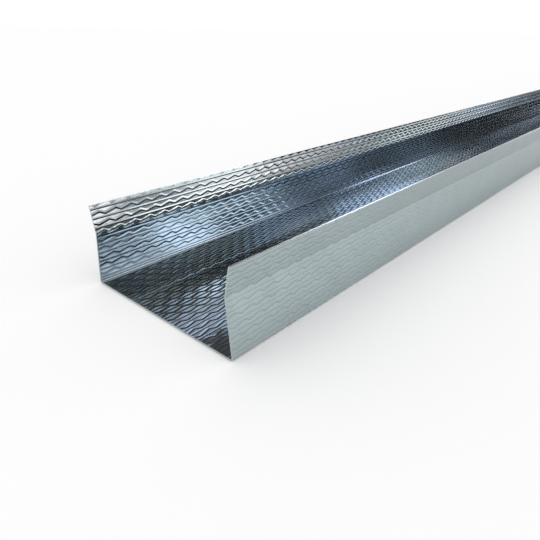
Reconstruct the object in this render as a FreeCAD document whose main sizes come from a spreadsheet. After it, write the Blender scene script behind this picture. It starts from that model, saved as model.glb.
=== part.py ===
"""Drywall track: one length of roll-formed galvanised sheet steel.

A flat web lies on the floor with a flange along each side. Each flange leans in a few degrees, so that
it grips a stud, up to a rolled crease. Above the crease a lip flares out to guide the stud in. The sheet
keeps one thickness round every bend, because the bends of its two faces share their centres.

Frame: X along the track, Y across it, Z up, origin under the middle of the web. Millimetres.
"""

import FreeCAD, Part

import math
import os

import Sketcher

SIZES = {
    "track_length": 3000.0,
    "web_width": 70.0,
    "flange_height": 30.0,
    "crease_height": 20.0,
    "sheet_thickness": 0.5,
    "bend_radius": 0.6,
    "crease_radius": 1.5,
    "flange_lean_angle": 6.5,
    "lip_flare_angle": 10.5,
}

START = 1
END = 2
CENTRE = 3
ORIGIN = (-1, START)


def add_sheet(doc):
    """Put the driving dimensions in a spreadsheet, one alias to a row."""
    sheet = doc.addObject("Spreadsheet::Sheet", "Sizes")
    for row, (alias, value) in enumerate(SIZES.items(), start=1):
        sheet.set(f"A{row}", alias)
        sheet.set(f"B{row}", str(value))
        sheet.setAlias(f"B{row}", alias)
    doc.recompute()
    return sheet


def origin_plane(body, role):
    """Return the plane of a body's own origin that has the given role."""
    for feature in body.Origin.OriginFeatures:
        if feature.Role == role:
            return feature
    raise RuntimeError(f"no origin plane {role}")


def point(across, up):
    """A point of the section, across the track and above the floor."""
    return FreeCAD.Vector(across, up, 0)


def line(start, end):
    """A straight stretch of the section between two points."""
    return Part.LineSegment(start, end)


def bend(centre, radius, first_deg, last_deg):
    """A bend of the section, drawn anticlockwise between two angles."""
    circle = Part.Circle(centre, FreeCAD.Vector(0, 0, 1), radius)
    return Part.ArcOfCircle(circle, math.radians(first_deg), math.radians(last_deg))


def draw_half_section(sketch):
    """Draw one half of the section near its final place and return the number of each stretch."""
    half_web = SIZES["web_width"] / 2
    thickness = SIZES["sheet_thickness"]
    inner = SIZES["bend_radius"]
    outer = inner + thickness
    crease = SIZES["crease_radius"]
    lean = SIZES["flange_lean_angle"]
    flare = SIZES["lip_flare_angle"]
    crease_up = SIZES["crease_height"]
    top = SIZES["flange_height"]

    corner = point(half_web - outer, outer)
    waist = half_web - crease_up * math.tan(math.radians(lean))
    hollow = point(waist + crease, crease_up)
    tip = waist + (top - crease_up) * math.tan(math.radians(flare))

    stretches = {
        "web_under": line(point(0, 0), point(corner.x, 0)),
        "outer_bend": bend(corner, outer, -90, lean),
        "flange_out": line(point(half_web, outer), point(waist, crease_up)),
        "outer_crease": bend(hollow, crease, 180 - flare, 180 + lean),
        "lip_out": line(point(waist, crease_up), point(tip, top)),
        "lip_edge": line(point(tip, top), point(tip - thickness, top)),
        "lip_in": line(point(tip - thickness, top), point(waist - thickness, crease_up)),
        "inner_crease": bend(hollow, crease + thickness, 180 - flare, 180 + lean),
        "flange_in": line(point(waist - thickness, crease_up), point(half_web - thickness, outer)),
        "inner_bend": bend(corner, inner, -90, lean),
        "web_top": line(point(corner.x, thickness), point(0, thickness)),
        "middle": line(point(0, thickness), point(0, 0)),
    }
    return {name: sketch.addGeometry(stretch) for name, stretch in stretches.items()}


def join_half_section(sketch, at):
    """Join the stretches into one outline that runs smoothly through its bends."""
    tangent_joints = (
        ("web_under", END, "outer_bend", START),
        ("outer_bend", END, "flange_out", START),
        ("flange_out", END, "outer_crease", END),
        ("outer_crease", START, "lip_out", START),
        ("lip_in", END, "inner_crease", START),
        ("inner_crease", END, "flange_in", START),
        ("flange_in", END, "inner_bend", END),
        ("inner_bend", START, "web_top", START),
    )
    square_joints = (
        ("lip_out", END, "lip_edge", START),
        ("lip_edge", END, "lip_in", START),
        ("web_top", END, "middle", START),
        ("middle", END, "web_under", START),
    )
    for first, first_end, second, second_end in tangent_joints:
        sketch.addConstraint(Sketcher.Constraint("Tangent", at[first], first_end, at[second], second_end))
    for first, first_end, second, second_end in square_joints:
        sketch.addConstraint(Sketcher.Constraint("Coincident", at[first], first_end, at[second], second_end))

    sketch.addConstraint(Sketcher.Constraint("Coincident", at["web_under"], START, *ORIGIN))
    sketch.addConstraint(Sketcher.Constraint("Horizontal", at["web_under"]))
    sketch.addConstraint(Sketcher.Constraint("Horizontal", at["web_top"]))
    sketch.addConstraint(Sketcher.Constraint("Vertical", at["middle"]))
    sketch.addConstraint(Sketcher.Constraint("Parallel", at["flange_out"], at["flange_in"]))
    sketch.addConstraint(Sketcher.Constraint("Parallel", at["lip_out"], at["lip_in"]))
    sketch.addConstraint(Sketcher.Constraint("Perpendicular", at["lip_out"], at["lip_edge"]))
    for outer, inner in (("outer_bend", "inner_bend"), ("outer_crease", "inner_crease")):
        sketch.addConstraint(Sketcher.Constraint("Coincident", at[outer], CENTRE, at[inner], CENTRE))


def size_half_section(sketch, at):
    """Bind the section's dimensions to the sheet's cells."""
    half_web = SIZES["web_width"] / 2
    outer = SIZES["bend_radius"] + SIZES["sheet_thickness"]
    lean = math.radians(90 + SIZES["flange_lean_angle"])
    flare = math.radians(90 - SIZES["lip_flare_angle"])
    dimensions = (
        ("thickness", "Sizes.sheet_thickness",
         Sketcher.Constraint("Distance", at["middle"], SIZES["sheet_thickness"])),
        ("bend", "Sizes.bend_radius",
         Sketcher.Constraint("Radius", at["inner_bend"], SIZES["bend_radius"])),
        ("crease", "Sizes.crease_radius",
         Sketcher.Constraint("Radius", at["outer_crease"], SIZES["crease_radius"])),
        ("corner_place", "Sizes.web_width / 2 - Sizes.bend_radius - Sizes.sheet_thickness",
         Sketcher.Constraint("DistanceX", *ORIGIN, at["outer_bend"], CENTRE, half_web - outer)),
        ("crease_place", "Sizes.crease_height",
         Sketcher.Constraint("DistanceY", *ORIGIN, at["outer_crease"], CENTRE, SIZES["crease_height"])),
        ("height", "Sizes.flange_height",
         Sketcher.Constraint("DistanceY", *ORIGIN, at["lip_edge"], END, SIZES["flange_height"])),
        ("lean", "90 + Sizes.flange_lean_angle",
         Sketcher.Constraint("Angle", at["flange_out"], lean)),
        ("flare", "90 - Sizes.lip_flare_angle",
         Sketcher.Constraint("Angle", at["lip_out"], flare)),
    )
    for name, expression, constraint in dimensions:
        number = sketch.addConstraint(constraint)
        sketch.renameConstraint(number, name)
        sketch.setExpression(f"Constraints.{name}", expression)


def build_track(doc):
    """Pad half of the section along the track's length and mirror it over the middle of the web."""
    body = doc.addObject("PartDesign::Body", "Track")
    body.Label = "track"

    sketch = body.newObject("Sketcher::SketchObject", "HalfSection")
    sketch.AttachmentSupport = [(origin_plane(body, "YZ_Plane"), "")]
    sketch.MapMode = "FlatFace"
    stretches = draw_half_section(sketch)
    join_half_section(sketch, stretches)
    size_half_section(sketch, stretches)
    doc.recompute()
    if not sketch.FullyConstrained:
        raise RuntimeError("the half section has freedom left")

    half = body.newObject("PartDesign::Pad", "HalfTrack")
    half.Profile = sketch
    half.SideType = "Symmetric"
    half.setExpression("Length", "Sizes.track_length")
    doc.recompute()

    whole = body.newObject("PartDesign::Mirrored", "BothFlanges")
    whole.Originals = [half]
    whole.MirrorPlane = (origin_plane(body, "XZ_Plane"), [""])
    whole.Refine = True
    body.Tip = whole
    doc.recompute()
    return body


def check(doc, subparts):
    """Stop if any object failed or any sub-part is not one valid solid."""
    for item in doc.Objects:
        if "Invalid" in item.State or "Error" in item.State:
            raise RuntimeError(f"{item.Name} failed: {item.State}")
    for subpart in subparts:
        shape = subpart.Shape
        if shape.isNull() or not shape.isValid() or len(shape.Solids) != 1:
            raise RuntimeError(f"{subpart.Label} is not one valid solid")


def main():
    doc = FreeCAD.newDocument("DrywallTrack")
    add_sheet(doc)
    subparts = [build_track(doc)]
    check(doc, subparts)
    os.makedirs("parts", exist_ok=True)
    for subpart in subparts:
        subpart.Shape.exportStep(f"parts/{subpart.Label}.step")
        box = subpart.Shape.BoundBox
        print(f"{subpart.Label}: {box.XLength:.2f} x {box.YLength:.2f} x {box.ZLength:.2f} mm,",
              f"{len(subpart.Shape.Faces)} faces, {subpart.Shape.Volume / 1000:.2f} cm3")


main()
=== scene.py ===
"""Drywall track: the embossed galvanised sheet, its finish and the studio it is shown in.

The track is rolled the way the real one is: a flat strip is cut from sheet, wavy and straight beads are
pressed into it, and every line of it is bent to its place on the section.
Metres, in the part's own frame: X along the track, Y across it, Z up.
"""

import math
from typing import NamedTuple

import bmesh
import bpy
from bpy.props import FloatProperty, FloatVectorProperty, IntProperty, PointerProperty
from mathutils import Matrix, Vector


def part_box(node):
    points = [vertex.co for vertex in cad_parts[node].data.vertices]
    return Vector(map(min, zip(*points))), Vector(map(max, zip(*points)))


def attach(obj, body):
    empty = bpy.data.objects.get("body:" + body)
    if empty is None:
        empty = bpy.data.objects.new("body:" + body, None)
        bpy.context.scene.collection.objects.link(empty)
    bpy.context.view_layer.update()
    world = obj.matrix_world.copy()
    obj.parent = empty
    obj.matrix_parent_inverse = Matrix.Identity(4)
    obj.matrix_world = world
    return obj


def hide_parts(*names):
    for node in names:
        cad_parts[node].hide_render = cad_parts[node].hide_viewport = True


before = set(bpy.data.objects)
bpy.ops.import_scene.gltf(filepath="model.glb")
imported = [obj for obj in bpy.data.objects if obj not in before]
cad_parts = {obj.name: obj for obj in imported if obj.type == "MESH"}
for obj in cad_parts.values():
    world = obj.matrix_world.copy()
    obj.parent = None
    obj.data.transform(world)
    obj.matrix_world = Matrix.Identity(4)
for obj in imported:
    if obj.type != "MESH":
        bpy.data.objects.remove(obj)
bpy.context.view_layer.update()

bl_info = {
    "name": "Drywall Track",
    "version": (1, 0, 0),
    "blender": (4, 5, 0),
    "location": "3D View > Sidebar > Track",
    "description": "Rolls a length of embossed galvanised drywall track and sets a studio round it",
    "category": "Add Mesh",
}

NODE = "track"
NODE_LOW, NODE_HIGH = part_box(NODE)

# Where each corner of the strip comes from
COLUMN = "column"
ROW = "row"
INSIDE = "inside"

# What the zinc's material reads from the strip
ALONG = "strip_along"
LANE = "bead_lane"
SHARE = "bead_share"
UNRAISED = "unraised_share"
PLAIN = "plain_normal"

# Materials in their order on the track
ZINC, SLIT_EDGE, SHEARED_END = range(3)

# Counts and shares of the beads
LIP_LANE = 18
LANES_COUNTED = 25
LATE_SHIFT = 0.5
BEAD_STEPS = (-1.0, 0.0, 1.0)
STEPS_ROUND_CORNER = 8

# Grain of the zinc and of the cuts
ZINC_UNEVENNESS = 0.06
CUT_UNEVENNESS = 0.12
GRAINS_PER_CRYSTAL = 4
STREAKS_PER_METRE = (6.0, 700.0, 700.0)
STREAK_DETAIL = 3.0
GLOSS_SHARE = 0.5

# Floor and camera
FLOOR_REACH = 60.0
FLOOR_DROP = 0.0002
FLOOR_ROUGHNESS = 0.9
SENSOR_WIDTH = 36.0
CLIP_NEAR = 0.005
CLIP_FAR = 200.0


class SheetSettings(bpy.types.PropertyGroup):
    """Sizes of the rolled section."""

    length: FloatProperty(
        name="Length", description="Length of the track", default=NODE_HIGH[0] - NODE_LOW[0],
        unit="LENGTH")
    web_width: FloatProperty(
        name="Web Width", description="Width over the outside of the flanges at the web",
        default=NODE_HIGH[1] - NODE_LOW[1], unit="LENGTH")
    flange_height: FloatProperty(
        name="Flange Height", description="Height from the underside to the top of the lips",
        default=NODE_HIGH[2] - NODE_LOW[2], unit="LENGTH")
    crease_height: FloatProperty(
        name="Crease Height", description="Height of the crease under each lip", default=0.020,
        unit="LENGTH")
    thickness: FloatProperty(
        name="Thickness", description="Thickness of the sheet", default=0.0005, unit="LENGTH")
    bend_radius: FloatProperty(
        name="Bend Radius", description="Inner radius between web and flange", default=0.0006,
        unit="LENGTH")
    crease_radius: FloatProperty(
        name="Crease Radius", description="Radius of the crease on the outer face", default=0.0015,
        unit="LENGTH")
    lean: FloatProperty(
        name="Flange Lean", description="How far the flanges lean in", default=math.radians(6.5),
        subtype="ANGLE")
    flare: FloatProperty(
        name="Lip Flare", description="How far the lips flare out", default=math.radians(10.5),
        subtype="ANGLE")


class EmbossSettings(bpy.types.PropertyGroup):
    """Sizes of the beads that are pressed into the strip."""

    pitch: FloatProperty(
        name="Pitch", description="From one straight bead to the next", default=0.00333, unit="LENGTH")
    edge_gap: FloatProperty(
        name="Edge Gap", description="From a lip's edge to its first straight bead", default=0.0015,
        unit="LENGTH")
    wavelength: FloatProperty(
        name="Wavelength", description="Length of one wave of a wavy bead", default=0.0066,
        unit="LENGTH")
    wave_start: FloatProperty(
        name="Wave Start", description="From the near end to the waves' first low point", default=0.0018,
        unit="LENGTH")
    climb: FloatProperty(
        name="Climb", description="Share of a wave in which it climbs slowly", default=0.667,
        subtype="FACTOR", min=0.1, max=0.9)
    swing: FloatProperty(
        name="Swing", description="How far a wavy bead swings to each side", default=0.0005,
        unit="LENGTH")
    wavy_width: FloatProperty(
        name="Wavy Width", description="From a wavy bead's crest to its foot", default=0.00068,
        unit="LENGTH")
    wavy_height: FloatProperty(
        name="Wavy Height", description="Height of a wavy bead", default=0.000085, unit="LENGTH")
    straight_width: FloatProperty(
        name="Straight Width", description="From a straight bead's crest to its foot", default=0.00045,
        unit="LENGTH")
    straight_height: FloatProperty(
        name="Straight Height", description="Height of a straight bead", default=0.000055,
        unit="LENGTH")
    cut_gap: FloatProperty(
        name="Cut Gap", description="Least gap from a lip's edge to the foot of the bead that it cuts",
        default=0.0001, unit="LENGTH")
    raised_waves: IntProperty(
        name="Raised Waves", description="Waves from the near end that are modelled", default=45)
    plain_lengths: IntProperty(
        name="Plain Lengths", description="Lengths without modelled waves after those", default=8)


class ZincSettings(bpy.types.PropertyGroup):
    """Colours and gloss of the zinc, of the lips' edges and of the ends."""

    colour: FloatVectorProperty(
        name="Zinc", description="Colour of the galvanised faces", subtype="COLOR", size=3,
        min=0, max=1, default=(0.44, 0.52, 0.53))
    grazing_colour: FloatVectorProperty(
        name="Zinc at a Slant", description="How much the zinc mirrors at a slant", subtype="COLOR",
        size=3, min=0, max=1, default=(0.79, 0.79, 0.79))
    roughness: FloatProperty(
        name="Roughness", description="Roughness of the galvanised faces", default=0.1,
        subtype="FACTOR")
    edge_colour: FloatVectorProperty(
        name="Slit Edge", description="Colour of the lips' slit edges", subtype="COLOR", size=3,
        min=0, max=1, default=(0.78, 0.82, 0.78))
    edge_roughness: FloatProperty(
        name="Edge Roughness", description="Roughness of the lips' slit edges", default=0.3,
        subtype="FACTOR")
    end_colour: FloatVectorProperty(
        name="Sheared End", description="Colour of the sheared ends", subtype="COLOR", size=3,
        min=0, max=1, default=(0.44, 0.49, 0.49))
    end_roughness: FloatProperty(
        name="End Roughness", description="Roughness of the sheared ends", default=0.4,
        subtype="FACTOR")
    # Painted shade: how much the zinc's colour is darkened on the beads, most on their crests, to draw them
    # as darker lines
    bead_painted_shade: FloatProperty(
        name="Bead Painted Shade", description="How much painted shade darkens the zinc on the beads", default=0.14,
        subtype="FACTOR")
    spangle: FloatProperty(
        name="Spangle", description="Size of the zinc's crystals", default=0.009, unit="LENGTH")


class StudioSettings(bpy.types.PropertyGroup):
    """The floor and the camera."""

    floor_colour: FloatVectorProperty(
        name="Floor", description="Colour of the floor", subtype="COLOR", size=3, min=0, max=1,
        default=(0.99, 0.99, 0.99))
    camera_place: FloatVectorProperty(
        name="Camera", description="Place of the camera", subtype="TRANSLATION", size=3,
        default=(-1.575043, -0.114595, 0.084411))
    camera_heading: FloatProperty(
        name="Heading", description="Direction of view, turned from the track's length",
        default=math.radians(41.353), subtype="ANGLE")
    camera_dip: FloatProperty(
        name="Dip", description="How far the camera looks down", default=math.radians(26.759),
        subtype="ANGLE")
    camera_roll: FloatProperty(
        name="Roll", description="How far the camera is tilted", default=math.radians(0.861),
        subtype="ANGLE")
    lens: FloatProperty(
        name="Lens", description="Focal length on a 36 mm sensor", default=31.73, unit="CAMERA")


class Stretch(NamedTuple):
    """One stretch of the section: its length and its curvature, both on the outer face."""

    length: float
    curvature: float


class HalfSection(NamedTuple):
    """The stretches of the section from the middle of the web to a lip's edge."""

    web: Stretch
    corner: Stretch
    flange: Stretch
    crease: Stretch
    lip: Stretch

    def half_width(self):
        """Half the width of the flat strip."""
        return sum(stretch.length for stretch in self)

    def corner_middle(self):
        """Where the middle of the corner lies across the strip."""
        return self.web.length + self.corner.length / 2


class Row(NamedTuple):
    """One line along the strip: its place across, how far it follows each set of waves, its rise, and
    how much of that rise the early waves take away."""

    across: float
    early: float
    late: float
    rise: float
    sink: float


class Column(NamedTuple):
    """One line across the strip: its place along, both sets of waves there, and how much of them is
    raised."""

    along: float
    early: float
    late: float
    raised: float


def half_section(sheet):
    """Work out the section's stretches from the sizes of the sheet."""
    bend = sheet.bend_radius + sheet.thickness
    crease = sheet.crease_radius
    bend_top = bend * (1 + math.sin(sheet.lean))
    crease_foot = sheet.crease_height - crease * math.sin(sheet.lean)
    crease_top = sheet.crease_height + crease * math.sin(sheet.flare)
    lip_top = sheet.flange_height - sheet.thickness * math.sin(sheet.flare)
    return HalfSection(
        web=Stretch(sheet.web_width / 2 - bend, 0.0),
        corner=Stretch(bend * (math.pi / 2 + sheet.lean), 1 / bend),
        flange=Stretch((crease_foot - bend_top) / math.cos(sheet.lean), 0.0),
        crease=Stretch(crease * (sheet.lean + sheet.flare), -1 / crease),
        lip=Stretch((lip_top - crease_top) / math.cos(sheet.flare), 0.0),
    )


def bend_to_section(section, across, depth):
    """Where a point of the flat strip lands, depth being measured in from the outer face."""
    y = 0.0
    z = 0.0
    heading = 0.0
    left = abs(across)
    for length, curvature in section:
        step = min(left, length)
        if curvature:
            turned = heading + step * curvature
            y += (math.sin(turned) - math.sin(heading)) / curvature
            z += (math.cos(heading) - math.cos(turned)) / curvature
            heading = turned
        else:
            y += step * math.cos(heading)
            z += step * math.sin(heading)
        left -= step
        if left <= 0:
            break
    y -= depth * math.sin(heading)
    z += depth * math.cos(heading)
    return math.copysign(y, across), z


def plain_normal(section, across, thickness):
    """Which way the inner face looks where it has no beads."""
    outer = bend_to_section(section, across, 0.0)
    inner = bend_to_section(section, across, thickness)
    return Vector((0.0, inner[0] - outer[0], inner[1] - outer[1])) / thickness


def smooth_step(low, high, value):
    """0 below low, 1 above high, and an even blend between them."""
    share = min(1.0, max(0.0, (value - low) / (high - low)))
    return share * share * (3 - 2 * share)


def lane_of(section, emboss, across):
    """Where a place on the strip lies between the beads: straight ones at whole lanes, wavy ones between.

    The web's lanes are counted from its middle, and each flange's from the straight bead nearest its
    lip's edge. Both counts start with an even lane, because late waves follow odd ones.
    """
    if abs(across) < section.corner_middle():
        return across / emboss.pitch
    first = section.half_width() - emboss.edge_gap
    return (abs(across) - first) / emboss.pitch + LIP_LANE


def ironed(section, across):
    """How much of a bead is left by the corner, whose bend irons the beads flat."""
    reach = section.corner.length / 2
    return smooth_step(reach, 2 * reach, abs(abs(across) - section.corner_middle()))


def bead_places(section, emboss):
    """Each bead's place across, its side and its count of half lanes."""
    half = section.half_width()
    corner = section.corner_middle()
    beads = []
    for half_lane in range(-2 * LANES_COUNTED, 2 * LANES_COUNTED + 1):
        step = half_lane / 2 * emboss.pitch
        if abs(step) < corner:
            beads.append((step, 1.0, half_lane))
        place = half - emboss.edge_gap + step
        if corner < place < half:
            beads.append((place, 1.0, half_lane))
            beads.append((-place, -1.0, half_lane))
    return beads


def bead_rows(section, emboss):
    """The feet and crest of every bead, from one edge of the strip to the other.

    Each edge cuts along the crest of a wavy bead, and leaves one of its feet. Odd half lanes hold wavy
    beads, and every second one of those follows the late waves.
    """
    half = section.half_width()
    foot = half - emboss.swing - emboss.cut_gap
    rows = []
    for side in (-1.0, 1.0):
        rows.append(Row(side * half, early=0.0, late=0.0, rise=emboss.wavy_height, sink=1.0))
        rows.append(Row(side * foot, early=side * emboss.swing, late=0.0, rise=0.0, sink=0.0))
    for place, side, half_lane in bead_places(section, emboss):
        share = ironed(section, place)
        wavy = half_lane % 2 == 1
        late = half_lane % 4 == 3
        width = emboss.wavy_width if wavy else emboss.straight_width
        height = emboss.wavy_height if wavy else emboss.straight_height
        sway = side * emboss.swing * share
        for step in BEAD_STEPS:
            rows.append(Row(
                place + step * width,
                early=sway if wavy and not late else 0.0,
                late=sway if wavy and late else 0.0,
                rise=height * share * (1 - abs(step)),
                sink=0.0))
    return sorted(row for row in rows if abs(row.across) <= half)


def meets_bend(section, low, high):
    """True where the stretch across the strip from low to high overlaps a bend."""
    corner_start = section.web.length
    corner_end = corner_start + section.corner.length
    crease_start = corner_end + section.flange.length
    crease_end = crease_start + section.crease.length
    near, far = sorted((abs(low), abs(high)))
    return near < corner_end and far > corner_start or near < crease_end and far > crease_start


def emboss_rows(section, emboss):
    """The lines along the strip: those of the beads, and more of them round the bends."""
    longest = section.corner.length / STEPS_ROUND_CORNER
    rows = bead_rows(section, emboss)
    full = [rows[0]]
    for low, high in zip(rows, rows[1:]):
        steps = 1
        if meets_bend(section, low.across, high.across):
            steps = math.ceil((high.across - low.across) / longest)
        for number in range(1, steps + 1):
            share = number / steps
            full.append(Row(*(a + (b - a) * share for a, b in zip(low, high))))
    return full


def saw_wave(emboss, along, shift):
    """A wave from -1 to 1 that climbs slowly and falls fast, moved on by a share of its length."""
    turn = ((along - emboss.wave_start) / emboss.wavelength + shift) % 1.0
    return 2 * min(turn / emboss.climb, (1 - turn) / (1 - emboss.climb)) - 1


def emboss_columns(length, emboss):
    """The lines across the strip: at each wave's low and high points near the end, then far apart."""
    turns = (0.0, emboss.climb - LATE_SHIFT, LATE_SHIFT, emboss.climb)
    places = [0.0]
    for wave in range(-1, emboss.raised_waves):
        places += [emboss.wave_start + (wave + turn) * emboss.wavelength for turn in turns]
    columns = []
    for place in sorted(place for place in places if place >= 0):
        early = saw_wave(emboss, place, 0.0)
        late = saw_wave(emboss, place, LATE_SHIFT)
        columns.append(Column(place, early, late, raised=1.0))
    end = emboss.wave_start + emboss.raised_waves * emboss.wavelength
    for number in range(emboss.plain_lengths + 1):
        place = end + (length - end) * number / emboss.plain_lengths
        columns.append(Column(place, early=0.0, late=0.0, raised=0.0))
    return columns


def cut_strip(rows, columns):
    """A flat strip of two faces, with each corner's row, column and face marked on it."""
    strip = bmesh.new()
    marks = strip.verts.layers
    column_of = marks.int.new(COLUMN)
    row_of = marks.int.new(ROW)
    inside = marks.int.new(INSIDE)
    for measure in (ALONG, LANE, SHARE, UNRAISED):
        marks.float.new(measure)
    marks.float_vector.new(PLAIN)
    bmesh.ops.create_grid(strip, x_segments=len(columns) - 1, y_segments=len(rows) - 1, size=1.0)
    for vert in strip.verts:
        vert[column_of] = round((vert.co.x + 1) / 2 * (len(columns) - 1))
        vert[row_of] = round((vert.co.y + 1) / 2 * (len(rows) - 1))
    thickened = bmesh.ops.extrude_face_region(strip, geom=strip.faces[:], use_keep_orig=True)
    for item in thickened["geom"]:
        if isinstance(item, bmesh.types.BMVert):
            item[inside] = 1
    return strip


def bend_strip(strip, rows, columns, section, sheet, emboss):
    """Press the beads into the strip, bend it to the section and write down what its material reads."""
    marks = strip.verts.layers
    column_of, row_of, inside = (marks.int[name] for name in (COLUMN, ROW, INSIDE))
    along, lane, share, unraised = (marks.float[name] for name in (ALONG, LANE, SHARE, UNRAISED))
    plain = marks.float_vector[PLAIN]
    for vert in strip.verts:
        column = columns[vert[column_of]]
        row = rows[vert[row_of]]
        wavy = row.early or row.late or row.sink
        place = row.across + row.early * column.early + row.late * column.late
        rise = row.rise * (1 - row.sink * (1 + column.early) / 2)
        rise *= column.raised if wavy else 1.0
        y, z = bend_to_section(section, place, rise + vert[inside] * sheet.thickness)
        vert.co = (column.along - sheet.length / 2, y, z)
        side = 1 if vert[inside] else -1
        vert[along] = column.along
        vert[lane] = lane_of(section, emboss, place)
        vert[share] = ironed(section, place)
        vert[unraised] = side * (1 - column.raised) * vert[share]
        vert[plain] = side * plain_normal(section, place, sheet.thickness)


def finish_strip(strip, rows, section):
    """Give the cuts their own materials, and shade the sheet smooth along its beads and round its bends."""
    marks = strip.verts.layers.int
    column_of, row_of, inside = (marks[name] for name in (COLUMN, ROW, INSIDE))
    for face in strip.faces:
        cut = len({vert[inside] for vert in face.verts}) == 2
        at_end = len({vert[column_of] for vert in face.verts}) == 1
        face.material_index = ZINC
        face.smooth = not cut
        if cut:
            face.material_index = SHEARED_END if at_end else SLIT_EDGE
            for edge in face.edges:
                edge.smooth = False
    for edge in strip.edges:
        first, second = (rows[vert[row_of]] for vert in edge.verts)
        if first is second and not meets_bend(section, first.across, first.across):
            edge.smooth = False
    bmesh.ops.recalc_face_normals(strip, faces=strip.faces[:])
    for name in (COLUMN, ROW, INSIDE):
        marks.remove(marks[name])


def roll_sheet(sheet, emboss, materials):
    """Cut a strip, press the beads into it, bend it to the section and make it an object."""
    section = half_section(sheet)
    rows = emboss_rows(section, emboss)
    columns = emboss_columns(sheet.length, emboss)
    strip = cut_strip(rows, columns)
    bend_strip(strip, rows, columns, section, sheet, emboss)
    finish_strip(strip, rows, section)

    mesh = bpy.data.meshes.new("embossed_track")
    strip.to_mesh(mesh)
    strip.free()
    for material in materials:
        mesh.materials.append(material)
    track = bpy.data.objects.new("embossed_track", mesh)
    bpy.context.collection.objects.link(track)
    return track


def add_math(tree, operation, *inputs):
    """Add a Math node, fed by numbers or sockets, and return its result."""
    node = tree.nodes.new("ShaderNodeMath")
    node.operation = operation
    for socket, value in zip(node.inputs, inputs):
        if isinstance(value, bpy.types.NodeSocket):
            tree.links.new(value, socket)
        else:
            socket.default_value = value
    return node.outputs["Value"]


def add_scaled(tree, colour, level):
    """Multiply a colour by a level and return the result."""
    node = tree.nodes.new("ShaderNodeVectorMath")
    node.operation = "SCALE"
    tree.links.new(colour, node.inputs[0])
    tree.links.new(level, node.inputs["Scale"])
    return node.outputs["Vector"]


def add_attribute(tree, name, output="Fac"):
    """Read one of the strip's own measures."""
    node = tree.nodes.new("ShaderNodeAttribute")
    node.attribute_name = name
    return node.outputs[output]


def zinc_group():
    """Zinc crystals and rolling streaks, shared by the faces and the cuts."""
    group = bpy.data.node_groups.new("zinc_bloom", "ShaderNodeTree")
    interface = group.interface
    for name, kind in (("Colour", "NodeSocketColor"), ("Roughness", "NodeSocketFloat"),
                       ("Crystals per Metre", "NodeSocketFloat"), ("Unevenness", "NodeSocketFloat")):
        interface.new_socket(name=name, in_out="INPUT", socket_type=kind)
    interface.new_socket(name="Colour", in_out="OUTPUT", socket_type="NodeSocketColor")
    interface.new_socket(name="Roughness", in_out="OUTPUT", socket_type="NodeSocketFloat")
    nodes = group.nodes
    links = group.links
    given = nodes.new("NodeGroupInput").outputs
    result = nodes.new("NodeGroupOutput").inputs
    place = nodes.new("ShaderNodeTexCoord").outputs["Object"]

    crystals = nodes.new("ShaderNodeTexVoronoi")
    links.new(place, crystals.inputs["Vector"])
    links.new(given["Crystals per Metre"], crystals.inputs["Scale"])
    crystal = nodes.new("ShaderNodeSeparateColor")
    links.new(crystals.outputs["Color"], crystal.inputs["Color"])

    stretched = nodes.new("ShaderNodeMapping")
    stretched.inputs["Scale"].default_value = STREAKS_PER_METRE
    links.new(place, stretched.inputs["Vector"])
    streaks = nodes.new("ShaderNodeTexNoise")
    streaks.inputs["Scale"].default_value = 1.0
    streaks.inputs["Detail"].default_value = STREAK_DETAIL
    links.new(stretched.outputs["Vector"], streaks.inputs["Vector"])

    uneven = add_math(group, "ADD", crystal.outputs["Red"], streaks.outputs["Fac"])
    uneven = add_math(group, "SUBTRACT", uneven, 1.0)
    uneven = add_math(group, "MULTIPLY", uneven, given["Unevenness"])
    level = add_math(group, "ADD", uneven, 1.0)
    links.new(add_scaled(group, given["Colour"], level), result["Colour"])
    gloss = add_math(group, "MULTIPLY", uneven, GLOSS_SHARE)
    links.new(add_math(group, "SUBTRACT", given["Roughness"], gloss), result["Roughness"])
    return group


def wavy_group():
    """The height, from 0 to 1, of the wavy beads at a place on the strip."""
    group = bpy.data.node_groups.new("wavy_bead", "ShaderNodeTree")
    for name in ("Along", "Lane", "Pitch", "Wavelength", "Wave Start", "Climb", "Swing", "Half Width"):
        group.interface.new_socket(name=name, in_out="INPUT", socket_type="NodeSocketFloat")
    group.interface.new_socket(name="Height", in_out="OUTPUT", socket_type="NodeSocketFloat")
    given = group.nodes.new("NodeGroupInput").outputs
    result = group.nodes.new("NodeGroupOutput").inputs

    odd = add_math(group, "FLOORED_MODULO", add_math(group, "FLOOR", given["Lane"]), 2.0)
    shift = add_math(group, "MULTIPLY", odd, LATE_SHIFT)
    turn = add_math(group, "SUBTRACT", given["Along"], given["Wave Start"])
    turn = add_math(group, "ADD", add_math(group, "DIVIDE", turn, given["Wavelength"]), shift)
    turn = add_math(group, "FLOORED_MODULO", turn, 1.0)
    climb = add_math(group, "DIVIDE", turn, given["Climb"])
    fall = add_math(group, "DIVIDE", add_math(group, "SUBTRACT", 1.0, turn),
                    add_math(group, "SUBTRACT", 1.0, given["Climb"]))
    wave = add_math(group, "MULTIPLY_ADD", add_math(group, "MINIMUM", climb, fall), 2.0, -1.0)
    from_middle = add_math(group, "SUBTRACT", add_math(group, "FLOORED_MODULO", given["Lane"], 1.0), 0.5)
    gap = add_math(group, "SUBTRACT", add_math(group, "MULTIPLY", from_middle, given["Pitch"]),
                   add_math(group, "MULTIPLY", wave, given["Swing"]))
    share = add_math(group, "DIVIDE", add_math(group, "ABSOLUTE", gap), given["Half Width"])
    height = add_math(group, "MAXIMUM", add_math(group, "SUBTRACT", 1.0, share), 0.0)
    group.links.new(height, result["Height"])
    return group


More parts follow.
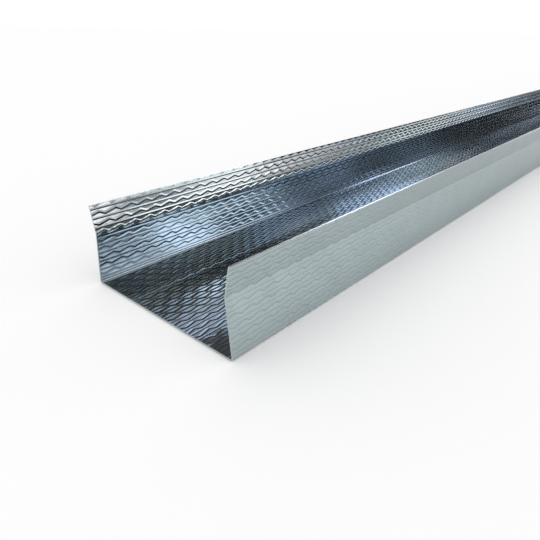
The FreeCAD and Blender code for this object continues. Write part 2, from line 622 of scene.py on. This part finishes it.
def place_group(tree, group, values):
    """Place a node group in a material with its own values."""
    node = tree.nodes.new("ShaderNodeGroup")
    node.node_tree = group
    for name, value in values.items():
        if isinstance(value, bpy.types.NodeSocket):
            tree.links.new(value, node.inputs[name])
        else:
            node.inputs[name].default_value = value
    return node


def new_material(name):
    """A material with its Principled shader."""
    material = bpy.data.materials.new(name)
    material.use_nodes = True
    return material, material.node_tree, material.node_tree.nodes["Principled BSDF"]


def add_straight_height(tree, lane, emboss):
    """The height of the straight beads: 1 on a crest, and 0 or less beyond its feet."""
    from_crest = add_math(tree, "SUBTRACT", lane, add_math(tree, "ROUND", lane))
    from_crest = add_math(tree, "ABSOLUTE", from_crest)
    return add_math(tree, "MULTIPLY_ADD", from_crest, -emboss.pitch / emboss.straight_width, 1.0)


def add_seen_normal(tree, bumped):
    """The beads' own normal to the camera, and the plain sheet's normal in reflections."""
    turned = tree.nodes.new("ShaderNodeVectorTransform")
    turned.vector_type = "NORMAL"
    turned.convert_from = "OBJECT"
    turned.convert_to = "WORLD"
    tree.links.new(add_attribute(tree, PLAIN, "Vector"), turned.inputs["Vector"])
    ray = tree.nodes.new("ShaderNodeLightPath")
    seen = tree.nodes.new("ShaderNodeMix")
    seen.data_type = "VECTOR"
    tree.links.new(ray.outputs["Is Camera Ray"], seen.inputs["Factor"])
    tree.links.new(turned.outputs["Vector"], seen.inputs["A"])
    tree.links.new(bumped, seen.inputs["B"])
    return seen.outputs["Result"]


def sheet_material(zinc, emboss, bloom, wavy):
    """Galvanised faces: zinc with faint crystals, painted shade darkening the beads, and bump where no wave
    is raised.
    """
    material, tree, shader = new_material("galvanised_sheet")
    shader.inputs["Metallic"].default_value = 1.0
    shader.inputs["Specular Tint"].default_value = (*zinc.grazing_colour, 1.0)
    finish = place_group(tree, bloom, {
        "Colour": (*zinc.colour, 1.0), "Roughness": zinc.roughness,
        "Crystals per Metre": 1 / zinc.spangle, "Unevenness": ZINC_UNEVENNESS})
    tree.links.new(finish.outputs["Roughness"], shader.inputs["Roughness"])

    lane = add_attribute(tree, LANE)
    beads = place_group(tree, wavy, {
        "Along": add_attribute(tree, ALONG), "Lane": lane, "Pitch": emboss.pitch,
        "Wavelength": emboss.wavelength, "Wave Start": emboss.wave_start, "Climb": emboss.climb,
        "Swing": emboss.swing, "Half Width": emboss.wavy_width})
    # Painted shade: the base colour is darkened by the beads' height, standing in for the shade on their
    # slopes
    bead_shade_mask = add_math(tree, "MAXIMUM", beads.outputs["Height"], add_straight_height(tree, lane, emboss))
    bead_shade_mask = add_math(tree, "MULTIPLY", bead_shade_mask, add_attribute(tree, SHARE))
    bead_shade_level = add_math(tree, "MULTIPLY_ADD", bead_shade_mask, -zinc.bead_painted_shade, 1.0)
    tree.links.new(add_scaled(tree, finish.outputs["Colour"], bead_shade_level), shader.inputs["Base Color"])

    bump = tree.nodes.new("ShaderNodeBump")
    bump.inputs["Distance"].default_value = emboss.wavy_height
    height = add_math(tree, "MULTIPLY", beads.outputs["Height"], add_attribute(tree, UNRAISED))
    tree.links.new(height, bump.inputs["Height"])
    tree.links.new(add_seen_normal(tree, bump.outputs["Normal"]), shader.inputs["Normal"])
    return material


def cut_material(name, colour, roughness, zinc, bloom):
    """A cut through the sheet: bare steel, with a finer grain than the zinc."""
    material, tree, shader = new_material(name)
    shader.inputs["Metallic"].default_value = 1.0
    finish = place_group(tree, bloom, {
        "Colour": (*colour, 1.0), "Roughness": roughness,
        "Crystals per Metre": GRAINS_PER_CRYSTAL / zinc.spangle, "Unevenness": CUT_UNEVENNESS})
    tree.links.new(finish.outputs["Colour"], shader.inputs["Base Color"])
    tree.links.new(finish.outputs["Roughness"], shader.inputs["Roughness"])
    return material


def add_floor(studio):
    """A plain pale floor just under the track."""
    floor = bmesh.new()
    bmesh.ops.create_grid(floor, x_segments=1, y_segments=1, size=FLOOR_REACH)
    bmesh.ops.translate(floor, verts=floor.verts, vec=(0.0, 0.0, -FLOOR_DROP))
    mesh = bpy.data.meshes.new("floor")
    floor.to_mesh(mesh)
    floor.free()
    material, _, shader = new_material("pale_floor")
    shader.inputs["Base Color"].default_value = (*studio.floor_colour, 1.0)
    shader.inputs["Roughness"].default_value = FLOOR_ROUGHNESS
    shader.inputs["Specular IOR Level"].default_value = 0.0
    mesh.materials.append(material)
    made = bpy.data.objects.new("floor", mesh)
    bpy.context.collection.objects.link(made)


class Card(NamedTuple):
    """A card of light: where it stands and how large it looks from the track's near end, in degrees."""

    name: str
    heading: float
    height: float
    width: float
    tall: float
    level: float
    tint: Vector


CLEAR = Vector((1.08, 0.97, 0.98))
SKY = Vector((0.97, 0.92, 1.12))
BLUE = Vector((0.88, 0.92, 1.25))
WARM = Vector((1.2, 0.9, 0.9))
DOME_RADIUS = 40.0
DOME_SEGMENTS = 64
DOME_FOOT = 1.5
DOME_LEVEL = 0.08
CARD_DISTANCE = 25.0
CARDS = (
    Card("low_right", -60, 6, 32, 6, 3.4, CLEAR),
    Card("bright_right", -52, 10.5, 16, 3, 2.3, CLEAR),
    Card("band_right", -72, 12, 23, 6, 0.85, CLEAR),
    Card("foot_right", -60, 1.8, 32, 2.4, 1.6, CLEAR),
    Card("low_ahead_right", -24, 6, 8, 6, 1.6, CLEAR),
    Card("low_right_ahead", -36, 6, 16, 6, 0.65, CLEAR),
    Card("wall_right_low", -32, 12, 8, 6, 3.4, BLUE),
    Card("wall_ahead_low", -24, 13.5, 8, 9, 0.75, BLUE),
    Card("gap_right", -40, 12, 8, 6, 0.8, CLEAR),
    Card("far_right", -72, 28.5, 7, 21, 3.0, CLEAR),
    Card("sill_right", -60, 22, 15, 8, 1.1, CLEAR),
    Card("sill_middle", -48, 24, 7, 4, 0.85, CLEAR),
    Card("sill_right_ahead", -40, 22, 7.5, 8, 1.4, BLUE),
    Card("wall_right", -32, 20, 7.5, 4, 1.0, BLUE),
    Card("wall_right_high", -28, 26, 14.5, 8, 0.5, BLUE),
    Card("pane_right", -56, 36.5, 6.5, 5, 2.4, SKY),
    Card("pane_middle_low", -48, 32, 7, 4, 4.2, SKY),
    Card("pane_middle", -48, 36.5, 6.5, 5, 1.4, SKY),
    Card("pane_middle_top", -48, 42, 6, 6, 3.2, SKY),
    Card("window_right", -36, 39.5, 12.5, 11, 3.4, SKY),
    Card("pane_ahead", -24, 36.5, 6.5, 5, 1.2, SKY),
    Card("window_right_top", -48, 50, 15.5, 10, 1.05, SKY),
    Card("low_ahead", 8, 9, 24, 6, 3.7, SKY),
    Card("window_ahead", -4, 30, 14, 8, 5.0, BLUE),
    Card("window_ahead_left", 20, 30, 14, 8, 3.4, BLUE),
    Card("low_left", 52, 9, 16, 6, 6.0, CLEAR),
    Card("glint_left", 24, 15, 7.5, 6, 7.6, CLEAR),
    Card("band_left_ahead", 40, 15, 23, 6, 3.2, WARM),
    Card("gap_left", 56, 15, 7.5, 6, 1.0, CLEAR),
    Card("band_left", 72, 17, 23, 10, 4.4, WARM),
    Card("window_left", 32, 20, 22.5, 4, 1.0, BLUE),
    Card("shelf_left", 56, 32, 47.5, 4, 0.8, BLUE),
    Card("overhead", 42, 74, 60, 28, 1.3, CLEAR),
    Card("behind_left", 140, 27, 70, 50, 0.7, CLEAR),
    Card("behind_right", -140, 27, 70, 50, 0.7, CLEAR),
)


def glow_material(name, colour):
    """A plain glowing card."""
    material = bpy.data.materials.new(name)
    material.use_nodes = True
    tree = material.node_tree
    tree.nodes.clear()
    glow = tree.nodes.new("ShaderNodeEmission")
    glow.inputs["Color"].default_value = (*colour, 1.0)
    out = tree.nodes.new("ShaderNodeOutputMaterial")
    tree.links.new(glow.outputs["Emission"], out.inputs["Surface"])
    return material


def dome_shape():
    """A dome over the stage, with a gap under its foot."""
    dome = bmesh.new()
    bmesh.ops.create_uvsphere(
        dome, u_segments=DOME_SEGMENTS, v_segments=DOME_SEGMENTS // 2, radius=DOME_RADIUS)
    foot = DOME_RADIUS * math.sin(math.radians(DOME_FOOT))
    bmesh.ops.bisect_plane(
        dome, geom=dome.verts[:] + dome.edges[:] + dome.faces[:], plane_co=(0.0, 0.0, foot),
        plane_no=(0.0, 0.0, 1.0), clear_inner=True)
    return dome


def card_shape(card):
    """A card that faces the track's near end."""
    shape = bmesh.new()
    wide = CARD_DISTANCE * math.tan(math.radians(card.width / 2))
    tall = CARD_DISTANCE * math.tan(math.radians(card.tall / 2))
    bmesh.ops.create_grid(shape, x_segments=1, y_segments=1, size=1.0)
    bmesh.ops.scale(shape, verts=shape.verts, vec=(wide, tall, 1.0))
    near_end = Matrix.Translation((NODE_LOW[0], 0.0, 0.0))
    turn = Matrix.Rotation(math.radians(card.heading) - math.pi / 2, 4, "Z")
    tip = Matrix.Rotation(math.pi / 2 + math.radians(card.height), 4, "X")
    away = Matrix.Translation((0.0, 0.0, -CARD_DISTANCE))
    bmesh.ops.transform(shape, verts=shape.verts, matrix=near_end @ turn @ tip @ away)
    return shape


def add_reflection(name, shape, colour):
    """Put a glowing shape on the stage that only the metal mirrors."""
    mesh = bpy.data.meshes.new(name)
    shape.to_mesh(mesh)
    shape.free()
    mesh.materials.append(glow_material(name, colour))
    made = bpy.data.objects.new(name, mesh)
    bpy.context.collection.objects.link(made)
    made.visible_camera = False
    made.visible_diffuse = False
    made.visible_transmission = False
    made.visible_shadow = False


def add_reflections():
    """A dark dome for the metal to mirror, with cards of light before it."""
    add_reflection("dome", dome_shape(), DOME_LEVEL * CLEAR)
    for card in CARDS:
        add_reflection(card.name, card_shape(card), card.level * card.tint)


def add_world():
    """An even white room."""
    world = bpy.data.worlds.new("studio")
    world.use_nodes = True
    background = world.node_tree.nodes["Background"]
    background.inputs["Color"].default_value = (1.0, 1.0, 1.0, 1.0)
    background.inputs["Strength"].default_value = 1.0
    bpy.context.scene.world = world


def add_camera(studio):
    """The photograph's view: beside the near end, looking along the track and down into it."""
    data = bpy.data.cameras.new("camera")
    data.sensor_fit = "HORIZONTAL"
    data.sensor_width = SENSOR_WIDTH
    data.lens = studio.lens
    data.clip_start = CLIP_NEAR
    data.clip_end = CLIP_FAR
    camera = bpy.data.objects.new("camera", data)
    bpy.context.collection.objects.link(camera)
    turn = Matrix.Rotation(studio.camera_heading - math.pi / 2, 4, "Z")
    tip = Matrix.Rotation(math.pi / 2 - studio.camera_dip, 4, "X")
    roll = Matrix.Rotation(studio.camera_roll, 4, "Z")
    camera.matrix_world = Matrix.Translation(Vector(studio.camera_place)) @ turn @ tip @ roll
    bpy.context.scene.camera = camera


class TRACK_OT_roll_sheet(bpy.types.Operator):
    """Roll the embossed track and give it its zinc finish"""

    bl_idname = "drywall_track.roll_sheet"
    bl_label = "Roll Embossed Track"

    def execute(self, context):
        scene = context.scene
        bloom = zinc_group()
        wavy = wavy_group()
        zinc = scene.track_zinc
        materials = (
            sheet_material(zinc, scene.track_emboss, bloom, wavy),
            cut_material("slit_edge", zinc.edge_colour, zinc.edge_roughness, zinc, bloom),
            cut_material("sheared_end", zinc.end_colour, zinc.end_roughness, zinc, bloom),
        )
        track = roll_sheet(scene.track_sheet, scene.track_emboss, materials)
        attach(track, "root")
        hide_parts(NODE)
        return {"FINISHED"}


class TRACK_OT_set_stage(bpy.types.Operator):
    """Lay the floor, set the light and place the camera"""

    bl_idname = "drywall_track.set_stage"
    bl_label = "Set Stage"

    def execute(self, context):
        studio = context.scene.track_studio
        add_floor(studio)
        add_reflections()
        add_world()
        add_camera(studio)
        context.scene.view_settings.view_transform = "Standard"
        return {"FINISHED"}


class TRACK_PT_sidebar(bpy.types.Panel):
    """Sizes, colours and steps of the drywall track"""

    bl_idname = "TRACK_PT_sidebar"
    bl_label = "Drywall Track"
    bl_space_type = "VIEW_3D"
    bl_region_type = "UI"
    bl_category = "Track"

    def draw(self, context):
        for title, name, kind in SETTINGS:
            box = self.layout.box()
            box.label(text=title)
            for setting in kind.__annotations__:
                box.prop(getattr(context.scene, name), setting)
        for step in STEPS:
            self.layout.operator(step.bl_idname)


SETTINGS = (
    ("Section", "track_sheet", SheetSettings),
    ("Embossing", "track_emboss", EmbossSettings),
    ("Zinc", "track_zinc", ZincSettings),
    ("Studio", "track_studio", StudioSettings),
)
STEPS = (TRACK_OT_roll_sheet, TRACK_OT_set_stage)


def register():
    for _, name, kind in SETTINGS:
        bpy.utils.register_class(kind)
        setattr(bpy.types.Scene, name, PointerProperty(type=kind))
    for kind in (*STEPS, TRACK_PT_sidebar):
        bpy.utils.register_class(kind)


def unregister():
    for kind in reversed((*STEPS, TRACK_PT_sidebar)):
        bpy.utils.unregister_class(kind)
    for _, name, kind in reversed(SETTINGS):
        delattr(bpy.types.Scene, name)
        bpy.utils.unregister_class(kind)


def main():
    register()
    bpy.ops.drywall_track.roll_sheet()
    bpy.ops.drywall_track.set_stage()


if __name__ == "__main__":
    main()
